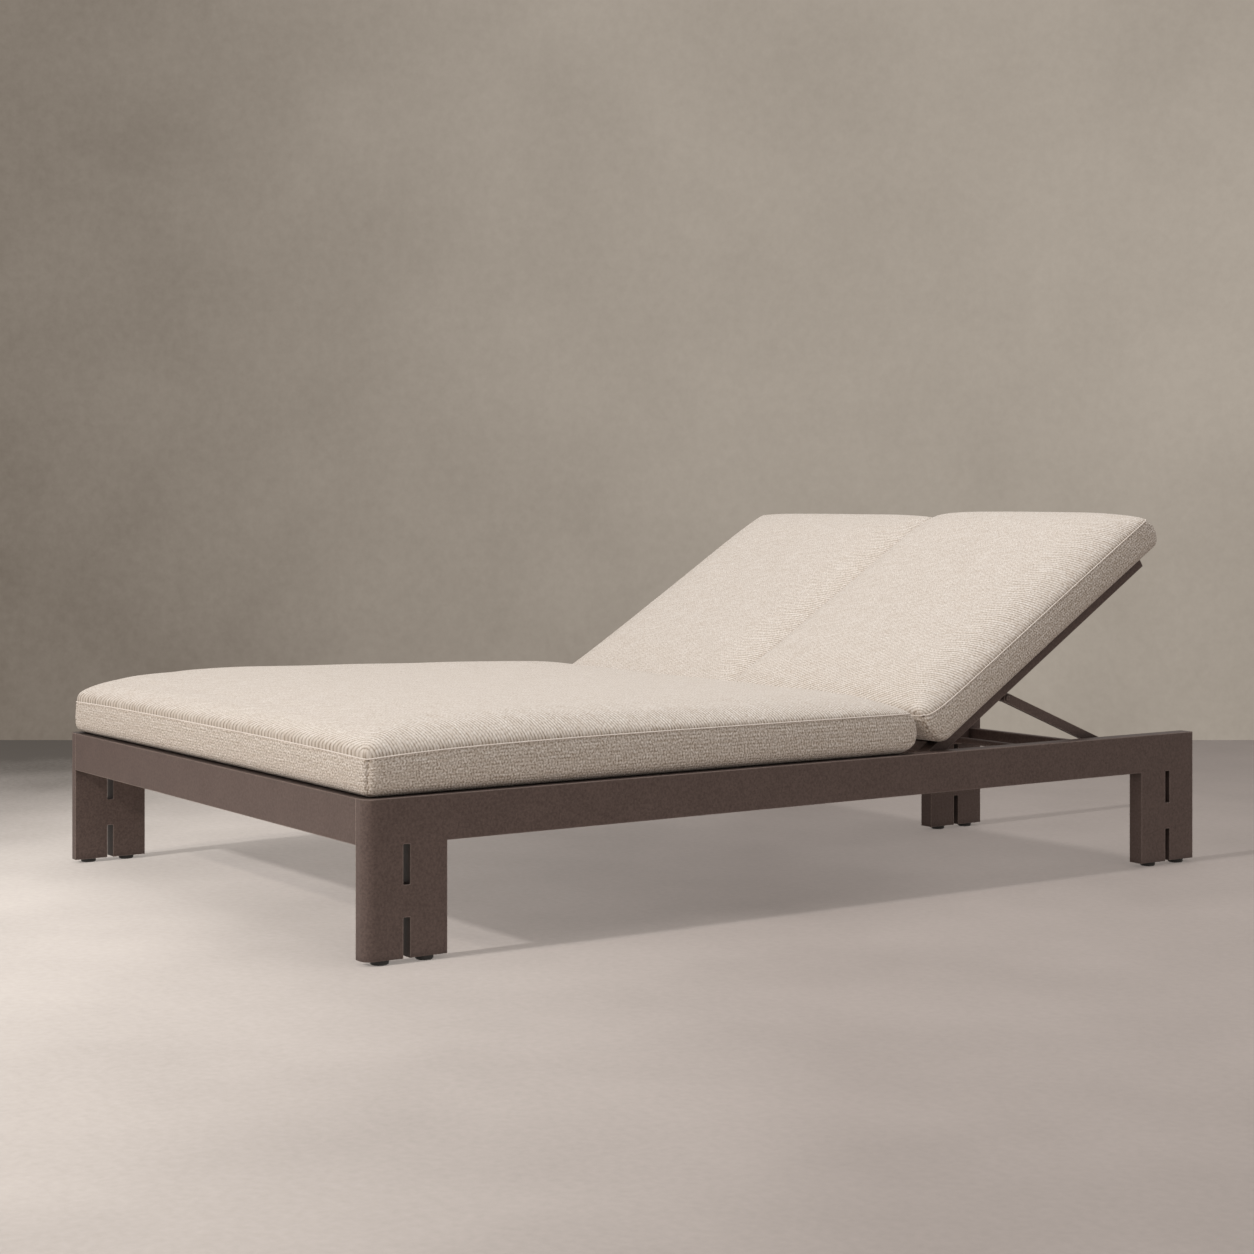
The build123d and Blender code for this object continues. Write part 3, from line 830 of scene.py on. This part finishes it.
        # Painted shade: a thin dark line on the panel just above the seam, where the crown's roll
        # casts its shadow.
        shade = np.zeros(len(points))
        shade[:first] = self.seam_dark * np.exp(-near / self.seam_dark_reach)
        self.sew_corners(piece, closed, shade)
        seams = piece.data.attributes.new(SEAM_SHADE, "FLOAT", "POINT")
        seams.data.foreach_set("value", shade.astype(np.float32))
        creases = piece.data.attributes.new("crease_edge", "FLOAT", "EDGE")
        ends = np.empty(len(piece.data.edges) * 2, dtype=np.int32)
        piece.data.edges.foreach_get("vertices", ends)
        on_seam = np.zeros(len(points), dtype=bool)
        on_seam[ring] = True
        creased = on_seam[ends.reshape(-1, 2)].all(axis=1)
        creases.data.foreach_set("value", creased.astype(np.float32))
        piece.data.transform(self.place)
        smooth = piece.modifiers.new("Smooth", "SUBSURF")
        smooth.levels = smooth.render_levels = 1
        bake_modifiers(piece)
        return piece, ring

    def cloth_coordinates(
        self, points: np.ndarray, closed: np.ndarray, quads: np.ndarray, shape: tuple[int, int]
    ) -> np.ndarray:
        """Give each face corner its place on the flat cloth, in metres.

        The panels are cut on the bias: their ribs turn from across the lounger towards its head end.

        Args:
            points: the cushion's places.
            closed: the band's point numbers, row by row, with the first column repeated.
            quads: all the faces.
            shape: the grid lines of a panel along its two axes.

        Returns:
            Coordinates for each corner of each face.
        """
        cosine, sine = math.cos(self.bias), math.sin(self.bias)
        turn = np.array([[cosine, -sine], [sine, cosine]])
        flat = points[quads][..., :2] @ turn
        panel = (shape[0] - 1) * (shape[1] - 1)
        steps = np.linalg.norm(np.diff(points[closed[0]], axis=0), axis=1)
        around = np.concatenate([[0], np.cumsum(steps)])
        fall = np.linalg.norm(np.diff(points[closed], axis=0), axis=2).mean(axis=1)
        down = BAND_START - np.concatenate([[0], np.cumsum(fall)])
        band = np.stack(np.broadcast_arrays(around[None], down[:, None]), axis=-1)
        numbers = grid_faces(np.arange(closed.size).reshape(closed.shape))
        flat[panel:panel + len(numbers)] = band.reshape(-1, 2)[numbers]
        return flat

    def swell_with_air(self, piece: bpy.types.Object, held: np.ndarray, cap: np.ndarray) -> None:
        """Swell the cushion between its seam and the face it lies on, with Blender's cloth.

        Args:
            piece: the cushion, in its own frame.
            held: how firmly each point stays where it is, from 0 to 1.
            cap: the furthest that each point may move.
        """
        start = read_points(piece.data)
        pins = piece.vertex_groups.new(name="Held")
        for weight in np.unique(np.round(held, 2)):
            if weight > 0:
                chosen = np.flatnonzero(np.round(held, 2) == weight)
                pins.add(chosen.tolist(), float(weight), "REPLACE")
        modifier = piece.modifiers.new("Air", "CLOTH")
        cloth = modifier.settings
        cloth.vertex_group_mass = pins.name
        cloth.effector_weights.gravity = 0.0
        cloth.use_pressure = True
        cloth.uniform_pressure_force = self.pressure
        cloth.quality = 4
        cloth.mass = 0.3
        cloth.tension_stiffness = 25
        cloth.compression_stiffness = 25
        cloth.shear_stiffness = 12
        cloth.bending_stiffness = 1.5
        modifier.collision_settings.use_collision = False
        scene = bpy.context.scene
        for frame_number in range(1, self.cloth_frames + 1):
            scene.frame_set(frame_number)
        graph = bpy.context.evaluated_depsgraph_get()
        moved = read_points(piece.evaluated_get(graph).data)
        piece.modifiers.clear()
        piece.vertex_groups.clear()
        scene.frame_set(1)
        shift = moved - start
        length = np.maximum(np.linalg.norm(shift, axis=1, keepdims=True), 1e-9)
        capped = cap[:, None] * np.tanh(length / cap[:, None])
        places = start + shift / length * capped
        piece.data.vertices.foreach_set("co", places.astype(np.float32).ravel())
        piece.data.update()
        log.info("%s swelled by up to %.1f mm", self.name, length.max() / MM)

    def sew_corners(self, piece: bpy.types.Object, closed: np.ndarray, shade: np.ndarray) -> None:
        """Draw in the two upright corner seams at the low end, with their puckers.

        Across a corner the groove is a bell curve of the way round the band, and the puckers are a
        sine wave down the corner, of pucker_turn radians a millimetre, that fades to both sides.
        Painted shade darkens the groove and the puckers.

        Args:
            piece: the cushion, in its own frame.
            closed: the band's point numbers, row by row, with the first column repeated.
            shade: the painted seam shade of each point, which the corners add to.
        """
        points = read_points(piece.data)
        seam = points[closed[0]]
        around = np.concatenate([[0], np.cumsum(np.linalg.norm(np.diff(seam, axis=0), axis=1))])
        tangent = np.roll(seam[:-1], -1, 0) - np.roll(seam[:-1], 1, 0)
        inward = np.stack([-tangent[:, 1], tangent[:, 0], 0 * tangent[:, 0]], axis=1)
        inward /= np.linalg.norm(inward, axis=1, keepdims=True)
        for side in (-1, 1):
            outline_corner = side * self.half_x, -self.half_y
            corner = np.argmin(np.linalg.norm(seam[:-1, :2] - outline_corner, axis=1))
            way = np.abs(around[:-1] - around[corner])
            way = np.minimum(way, around[-1] - way)
            for row in closed[1:-2, :-1]:
                height = points[row[corner], 2]
                fade = np.clip(height / self.under_radius, 0, 1)
                tuck = math.sin(height / MM * self.pucker_turn)
                groove = self.pucker * np.exp(-((way / self.groove_reach) ** 2))
                wave = self.pucker_wave * self.pucker * tuck
                wave = wave * np.exp(-((way / self.pucker_reach) ** 2))
                points[row] += inward * (fade * (groove + wave))[:, None]
                # Painted shade in the corner's groove, deeper in the folds of the puckers.
                dark = np.exp(-((way / self.corner_dark_reach) ** 2))
                shade[row] += (self.corner_dark + self.pucker_dark * tuck) * dark
        piece.data.vertices.foreach_set("co", points.astype(np.float32).ravel())
        piece.data.update()

    def welt(self, cushion: bpy.types.Object, ring: np.ndarray) -> bpy.types.Object:
        """Sew a thin welt along the seam, a tube carried round it.

        Its middle line is the seam's own row, moved out by part of the welt's radius; each section
        is a circle across the line.

        Args:
            cushion: the finished cushion, in the object's frame.
            ring: the seam's point numbers.

        Returns:
            The welt's object.
        """
        line = read_points(cushion.data)[ring]
        up = np.array(self.place.to_3x3())[:, 2]
        tangent = np.roll(line, -1, 0) - np.roll(line, 1, 0)
        tangent /= np.linalg.norm(tangent, axis=1, keepdims=True)
        outward = np.cross(tangent, up)
        outward /= np.linalg.norm(outward, axis=1, keepdims=True)
        lift = np.cross(outward, tangent)
        middle = line + self.welt_radius * (0.9 * outward + 0.1 * lift)
        sides = self.welt_sides
        angles = np.linspace(0, 2 * math.pi, sides + 1)[:-1, None]
        spokes = np.cos(angles) * outward[:, None] + np.sin(angles) * lift[:, None]
        rings = middle[:, None] + self.welt_radius * spokes
        numbers = np.arange(rings.shape[0] * sides).reshape(-1, sides)
        numbers = np.concatenate([numbers, numbers[:1]])
        numbers = np.concatenate([numbers, numbers[:, :1]], axis=1)
        steps = np.linalg.norm(np.diff(middle, axis=0, append=middle[:1]), axis=1)
        along = np.concatenate([[0], np.cumsum(steps)])[:, None]
        round_it = np.linspace(0, 2 * math.pi, sides + 1)[None] * self.welt_radius
        flat = np.stack(np.broadcast_arrays(along, round_it), axis=-1).reshape(-1, 2)
        corners = grid_faces(np.arange(numbers.size).reshape(numbers.shape))
        quads = grid_faces(numbers)
        return make_mesh(f"{self.name}_welt", rings.reshape(-1, 3), quads, flat[corners])


@dataclass
class Cushions:
    """The three cushions: one across the seat and one on each back.

    The two backs are filled by hand, so the right one stands a little higher than the left.
    """

    seat_seam: float = 81 * MM
    seat_shoulder: float = 112 * MM
    back_seam: float = 68 * MM
    back_shoulders: tuple[float, float] = (115 * MM, 98 * MM)
    cloth: bpy.types.Material | None = None
    cord: bpy.types.Material | None = None

    def finish_pieces(self, maker: BoxCushion, body: str, node: str) -> None:
        """Build a cushion and its welt, and give them their cloth and their body.

        Args:
            maker: the cushion's sizes.
            body: the CAD body that both ride on.
            node: the CAD node that the cushion replaces.
        """
        cushion, ring = maker.build()
        welt = maker.welt(cushion, ring)
        for part, finish in ((cushion, self.cloth), (welt, self.cord)):
            part.data.materials.clear()
            part.data.materials.append(finish)
            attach(part, body)
        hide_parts(node)
        log.info("%s: %d faces", cushion.name, len(cushion.data.polygons))

    def build_seat(self) -> None:
        """Build the seat cushion inside the box of its CAD solid."""
        low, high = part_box("seat_cushion")
        middle = (low + high) / 2
        seat = BoxCushion(
            name="seat_cushion_cover",
            half_x=(high.x - low.x) / 2,
            half_y=(high.y - low.y) / 2,
            place=Matrix.Translation((middle.x, middle.y, low.z)),
            top_height=self.seat_shoulder + 4 * MM,
            seam_height=self.seat_seam,
            seam_end=-14 * MM,
            seam_bow=4.5 * MM,
            seam_reach=165 * MM,
            shoulder=self.seat_shoulder,
            edge_run=64 * MM,
            side_power=0.85,
            end_rise=24 * MM,
            fall=25 * MM,
            crown_run=260 * MM,
            low_radius=20 * MM,
            high_radius=9 * MM,
            under_radius=20 * MM,
            low_profile=EndProfile(),
            high_profile=EndProfile(
                heights=tuple(np.array([0, 5, 12, 20, 39, 59, 74, 81, 140]) * MM),
                offsets=tuple(np.array([-27, -26, -15, -7, -2, -4, -13, -18, -18]) * MM),
            ),
        )
        self.finish_pieces(seat, "base", "seat_cushion")

    def build_back(self, half: Half) -> None:
        """Build the back cushion of one half, which lies along its raised back.

        Args:
            half: the half of the lounger.
        """
        node = f"back_cushion_{half.word}"
        joint = next(j for j in frame["joints"] if j["name"] == f"back_{half.word}_recline")
        lean = -math.radians(joint["range_deg"][0])
        hinge = Vector(joint["pos_m"])
        axes = Matrix.Rotation(lean, 4, "X")
        points = read_points(frame["nodes"][node].data)
        own = (points - np.array([0, hinge.y, hinge.z])) @ np.array(axes.to_3x3())
        low, high = own.min(axis=0), own.max(axis=0)
        middle = (low + high) / 2
        middle[0] += 1.5 * MM * half.value
        place = Matrix.Translation((0, hinge.y, hinge.z)) @ axes
        place = place @ Matrix.Translation((middle[0], middle[1], low[2]))
        shoulder = self.back_shoulders[0 if half is Half.RIGHT else 1]
        back = BoxCushion(
            name=f"back_cushion_{half.word}_cover",
            half_x=(high[0] - low[0]) / 2 - 3.5 * MM,
            half_y=(high[1] - low[1]) / 2,
            place=place,
            top_height=shoulder + 6 * MM,
            seam_height=self.back_seam,
            seam_end=14 * MM,
            seam_bow=0.0,
            seam_reach=35 * MM,
            shoulder=shoulder,
            edge_run=75 * MM,
            side_power=0.9,
            crown_run=170 * MM,
            low_radius=20 * MM,
            high_radius=10 * MM,
            under_radius=14 * MM,
            bulge=1 * MM,
            pull_in=2 * MM,
            low_profile=EndProfile(
                heights=tuple(np.array([0, 12, 24, 40, 60, 82, 110]) * MM),
                offsets=tuple(np.array([-24, -17, -6, 0, 0, -6, -6]) * MM),
            ),
            high_profile=EndProfile(
                heights=tuple(np.array([0, 14, 30, 48, 68, 110]) * MM),
                offsets=tuple(np.array([-14, -5, 0, -1, -12, -12]) * MM),
            ),
        )
        self.finish_pieces(back, f"back_{half.word}", node)

    def build(self) -> None:
        """Build all three cushions in one cloth, and their welts in a paler cord of it, whose
        paleness is partly a painted highlight along the welt.
        """
        self.cloth = WovenFabric().material()
        # The cord's paler yarns are partly its own colour and partly a painted highlight of the
        # welt's lit top; its paler dark yarn also gives its gaps less painted shade.
        self.cord = WovenFabric(
            name="Heathered oatmeal welt cord", dark_yarn="cdbfb1", mid_yarn="efe5dc", relief_mm=0.3
        ).material()
        self.build_seat()
        for half in Half:
            self.build_back(half)


@dataclass
class Ironwork:
    """The rigid CAD pieces, each of which keeps its shape and takes its finish."""

    finishes: dict[str, object] = field(
        default_factory=lambda: {
            "brown_powder_coat": PowderCoat(),
            # Under the cushions the arrises catch no light, so their painted highlight line is
            # weaker.
            "slats": PowderCoat("Brown powder-coated slats", edge_colour="6b5b56"),
            "black_nylon": NYLON,
            "black_rubber": RUBBER,
            "bush_nylon": BUSH_NYLON,
            "stainless_steel": STEEL,
        }
    )

    def build(self) -> None:
        """Dress every rigid CAD node by its material slot, and the slats and cleats by their own."""
        materials = {slot: finish.material() for slot, finish in self.finishes.items()}
        for entry in frame["record"]["subparts"]:
            hidden = "slats" in entry["node"] or "cleat" in entry["node"]
            material = materials.get("slats" if hidden else entry["material_slot"])
            if material is None:
                continue
            piece = frame["nodes"][entry["node"]]
            piece.data.materials.clear()
            piece.data.materials.append(material)
        log.info("ironwork: %d finishes", len(materials))


@dataclass
class Studio:
    """The plaster backdrop, the plain floor, the soft lights and the camera of the photograph.

    The backdrop is painted on the world, where only the camera sees it, so that it never stands
    between the lounger and a camera behind it. The floor ends at the backdrop's foot, a straight
    line across the photograph's view.
    """

    floor_colour: str = "7c746f"
    # The pale colour is painted light towards the left; the dark one serves both the mottle and the
    # painted shade near the wall's foot.
    floor_pale: str = "a59e98"
    floor_shade: str = "3f3a35"
    floor_cloud_mm: float = 420.0
    floor_cloud_share: float = 0.35
    floor_grain_mm: float = 14.0
    floor_grain_share: float = 0.26
    floor_share_start: float = -0.185
    floor_roughness: float = 0.75
    floor_specular: float = 0.2
    shade_depth: float = 2.85
    shade_most: float = 1.1
    shade_sides: tuple[float, float] = (0.6, 1.6)
    shade_right: float = 0.07
    pale_sides: tuple[float, float] = (-0.3, 1.3)
    # The wall's colours: their mix is painted light across it and painted shade towards its foot,
    # with its clouds and grain.
    wall_dark: str = "665c52"
    wall_pale: str = "aea498"
    wall_across: tuple[float, float] = (-0.34, 0.12)
    wall_across_share: float = 0.62
    wall_rise: tuple[float, float] = (-0.13, 0.05)
    wall_rise_share: float = 0.17
    wall_base: float = 0.09
    wall_cloud_scale: float = 9.0
    wall_cloud_share: float = 0.5
    wall_grain_scale: float = 260.0
    wall_grain_share: float = 0.22
    wall_cloud_start: float = -0.36
    room_colour: str = "fff7f0"
    room_light: float = 0.40
    key_place: tuple[float, float, float] = (0.45, -5.15, 3.4)
    key_power: float = 102.0
    key_size: float = 0.2
    top_place: tuple[float, float, float] = (0.4, -0.2, 4.0)
    top_power: float = 82.0
    top_size: float = 4.0
    floor_fill_power: float = 290.0
    floor_key_place: tuple[float, float, float] = (0.55, -10.63, 5.8)
    floor_key_power: float = 1300.0
    floor_key_size: float = 0.4
    shadowless: tuple[str, ...] = ("back_", "strut_", "rack_", "head_rail", "brace_rail")
    lens_mm: float = 65.49
    sensor_mm: float = 36.0
    camera_place: tuple[float, float, float] = (4.150, -2.843, 0.7956)
    camera_turn: float = 55.70
    shift_y: float = -0.1008
    wall_distance: float = 7.58
    floor_reach: float = 14.0

    def axes(self) -> tuple[np.ndarray, np.ndarray]:
        """Give the level directions straight ahead of the camera and to its right.

        Returns:
            The two directions, each of length 1.
        """
        turn = math.radians(self.camera_turn)
        return (
            np.array([-math.sin(turn), math.cos(turn), 0.0]),
            np.array([math.cos(turn), math.sin(turn), 0.0]),
        )

    def floor(self) -> bpy.types.Object:
        """Lay the floor: a trowelled screed with large clouds and a fine grain.

        It has painted light that makes it paler to the left, and on the left painted shade darkens
        it towards the foot of the wall.

        Returns:
            The floor's object.
        """
        ahead, right = self.axes()
        stand = np.array([self.camera_place[0], self.camera_place[1], 0.0])
        foot = stand + ahead * self.wall_distance
        reach = right * self.floor_reach
        far = ahead * 2 * self.floor_reach
        corners = np.array([foot - far - reach, foot - far + reach, foot + reach, foot - reach])
        piece = make_mesh("Floor", corners, np.array([[0, 1, 2, 3]]))
        material, tree = new_material("Trowelled pale screed")
        place = add_node(tree, "TexCoord").outputs["Object"]
        cloud = add_node(tree, "TexNoise", (place, per_metre(self.floor_cloud_mm), 6.0, 0.55))
        grain = add_node(tree, "TexNoise", (place, per_metre(self.floor_grain_mm), 3.0, 0.6))
        from_foot = add_node(tree, "VectorMath", (place, tuple(foot)), operation="SUBTRACT")
        depth = add_node(tree, "VectorMath", (from_foot, tuple(-ahead)), operation="DOT_PRODUCT")
        side = add_node(tree, "VectorMath", (from_foot, tuple(-right)), operation="DOT_PRODUCT")
        # Painted shade: on the left the floor darkens towards the foot of the wall.
        dim = add_node(tree, "MapRange", (depth, 0.0, self.shade_depth, self.shade_most, 0.0))
        left = add_node(tree, "MapRange", (side, *self.shade_sides, self.shade_right))
        shade = add_node(tree, "Math", (dim, left), operation="MULTIPLY")
        shares = (grain, self.floor_grain_share, self.floor_share_start)
        grained = add_node(tree, "Math", shares, operation="MULTIPLY_ADD")
        shares = (cloud, self.floor_cloud_share, grained)
        mottle = add_node(tree, "Math", shares, operation="MULTIPLY_ADD")
        # Painted light: the floor is paler to the left, towards the lamps.
        pale = add_node(tree, "MapRange", (side, *self.pale_sides))
        colours = (linear(self.floor_colour), linear(self.floor_pale))
        plain = add_node(tree, "Mix", (pale, *colours), data_type="RGBA")
        # The real mottle and the painted shade together mix the floor towards its dark colour.
        mottle_and_shade = add_node(tree, "Math", (shade, mottle), operation="ADD", use_clamp=True)
        colour = add_node(tree, "Mix", (mottle_and_shade, plain, linear(self.floor_shade)), data_type="RGBA")
        looks = {"Base Color": colour, "Roughness": self.floor_roughness}
        looks["Specular IOR Level"] = self.floor_specular
        add_node(tree, "OutputMaterial", (add_node(tree, "BsdfPrincipled", looks),))
        piece.data.materials.append(material)
        return piece

    def world(self) -> None:
        """Light the room evenly, and paint the cloudy plaster wall for the camera alone.

        Painted light makes the wall paler to the right, and painted shade makes it darker downwards
        towards its foot. It has broad clouds and a fine grain.
        """
        world = bpy.data.worlds.new("Studio")
        world.use_nodes = True
        tree = world.node_tree
        tree.nodes.clear()
        room = add_node(tree, "Background", (linear(self.room_colour), self.room_light))
        ray = add_node(tree, "TexCoord").outputs["Generated"]
        right = self.axes()[1]
        across = add_node(tree, "VectorMath", (ray, tuple(right)), operation="DOT_PRODUCT")
        rise = add_node(tree, "SeparateXYZ", (ray,)).outputs[2]
        # Painted light: the wall grows paler to the right.
        painted_light_across = add_node(
            tree, "MapRange", (across, *self.wall_across), interpolation_type="SMOOTHSTEP"
        )
        # Painted shade: the wall darkens downwards towards its foot.
        high = add_node(tree, "MapRange", (rise, *self.wall_rise))
        broad = add_node(tree, "TexNoise", (ray, self.wall_cloud_scale, 8.0, 0.6))
        fine = add_node(tree, "TexNoise", (ray, self.wall_grain_scale, 4.0, 0.7))
        shares = (fine, self.wall_grain_share, self.wall_cloud_start)
        grained = add_node(tree, "Math", shares, operation="MULTIPLY_ADD")
        shares = (broad, self.wall_cloud_share, grained)
        clouds = add_node(tree, "Math", shares, operation="MULTIPLY_ADD")
        shares = (high, self.wall_rise_share, self.wall_base)
        higher = add_node(tree, "Math", shares, operation="MULTIPLY_ADD")
        shares = (painted_light_across, self.wall_across_share, higher)
        base = add_node(tree, "Math", shares, operation="MULTIPLY_ADD")
        pale = add_node(tree, "Math", (base, clouds), operation="ADD", use_clamp=True)
        colours = (linear(self.wall_dark), linear(self.wall_pale))
        colour = add_node(tree, "Mix", (pale, *colours), data_type="RGBA")
        wall = add_node(tree, "Background", (colour, 1.0))
        seen = add_node(tree, "LightPath").outputs["Is Camera Ray"]
        both = add_node(tree, "MixShader", (seen, room, wall))
        add_node(tree, "OutputWorld", (both,))
        bpy.context.scene.world = world

    def lamp(
        self, name: str, place: tuple[float, float, float], size: float, power: float, colour: str
    ) -> bpy.types.Object:
        """Hang one square soft light that points at the lounger's middle.

        Args:
            name: the light's name.
            place: where it hangs, in metres.
            size: its width in metres.
            power: its power in watts.
            colour: its sRGB colour.

        Returns:
            The light's object.
        """
        data = bpy.data.lights.new(name, "AREA")
        data.size = size
        data.energy = power
        data.color = linear(colour)[:3]
        light = bpy.data.objects.new(name, data)
        light.location = place
        aim = Vector((0, 0, 0.3)) - Vector(place)
        light.rotation_mode = "QUATERNION"
        light.rotation_quaternion = aim.to_track_quat("-Z", "Y")
        bpy.context.scene.collection.objects.link(light)
        return light

    def light_floor(self, floor: bpy.types.Object, top: bpy.types.Object) -> None:
        """Light the floor by its own two lamps, for the photograph's crisp, pale shadow.

        The fill takes no shadow from anything. The key takes none from the raised pieces, whose
        names start with one of the words of shadowless.

        Args:
            floor: the floor's object.
            top: the overhead light, which the floor doesn't take.
        """
        alone = bpy.data.collections.new("Floor alone")
        alone.objects.link(floor)
        white = "ffffff"
        fill = self.lamp("Floor fill", self.top_place, self.top_size, self.floor_fill_power, white)
        fill.light_linking.receiver_collection = alone
        fill.light_linking.blocker_collection = alone
        key = self.lamp(
            "Floor key", self.floor_key_place, self.floor_key_size, self.floor_key_power, white
        )
        key.light_linking.receiver_collection = alone
        raised = [
            piece for piece in bpy.context.scene.objects if piece.name.startswith(self.shadowless)
        ]
        key.light_linking.blocker_collection = self.all_but("All but the raised pieces", raised)
        top.light_linking.receiver_collection = self.all_but("All but the floor", [floor])

    @staticmethod
    def all_but(name: str, left_out: list[bpy.types.Object]) -> bpy.types.Collection:
        """Make the collection that stands for every object but a few in light linking.

        Args:
            name: the collection's name.
            left_out: the objects that it leaves out.

        Returns:
            The collection.
        """
        collection = bpy.data.collections.new(name)
        for piece in left_out:
            collection.objects.link(piece)
        for entry in collection.collection_objects:
            entry.light_linking.link_state = "EXCLUDE"
        return collection

    def camera(self) -> None:
        """Stand the camera where the photograph was taken from."""
        data = bpy.data.cameras.new("Camera")
        data.lens = self.lens_mm
        data.sensor_width = self.sensor_mm
        data.shift_y = self.shift_y
        camera = bpy.data.objects.new("Camera", data)
        camera.location = self.camera_place
        camera.rotation_euler = (math.pi / 2, 0, math.radians(self.camera_turn))
        bpy.context.scene.collection.objects.link(camera)
        bpy.context.scene.camera = camera

    def build(self) -> None:
        """Set the stage, the lights, the world and the camera."""
        floor = self.floor()
        self.world()
        self.lamp("Key", self.key_place, self.key_size, self.key_power, "fffaf4")
        top = self.lamp("Top", self.top_place, self.top_size, self.top_power, "ffffff")
        self.light_floor(floor, top)
        self.camera()
        bpy.context.scene.view_settings.view_transform = "Standard"
        log.info("studio set")


def main() -> None:
    """Build every sub-assembly in order."""
    logging.basicConfig(level=logging.INFO, format="%(name)s: %(message)s")
    for builder in (Ironwork(), Cushions(), Studio()):
        builder.build()


if __name__ == "__main__":
    main()
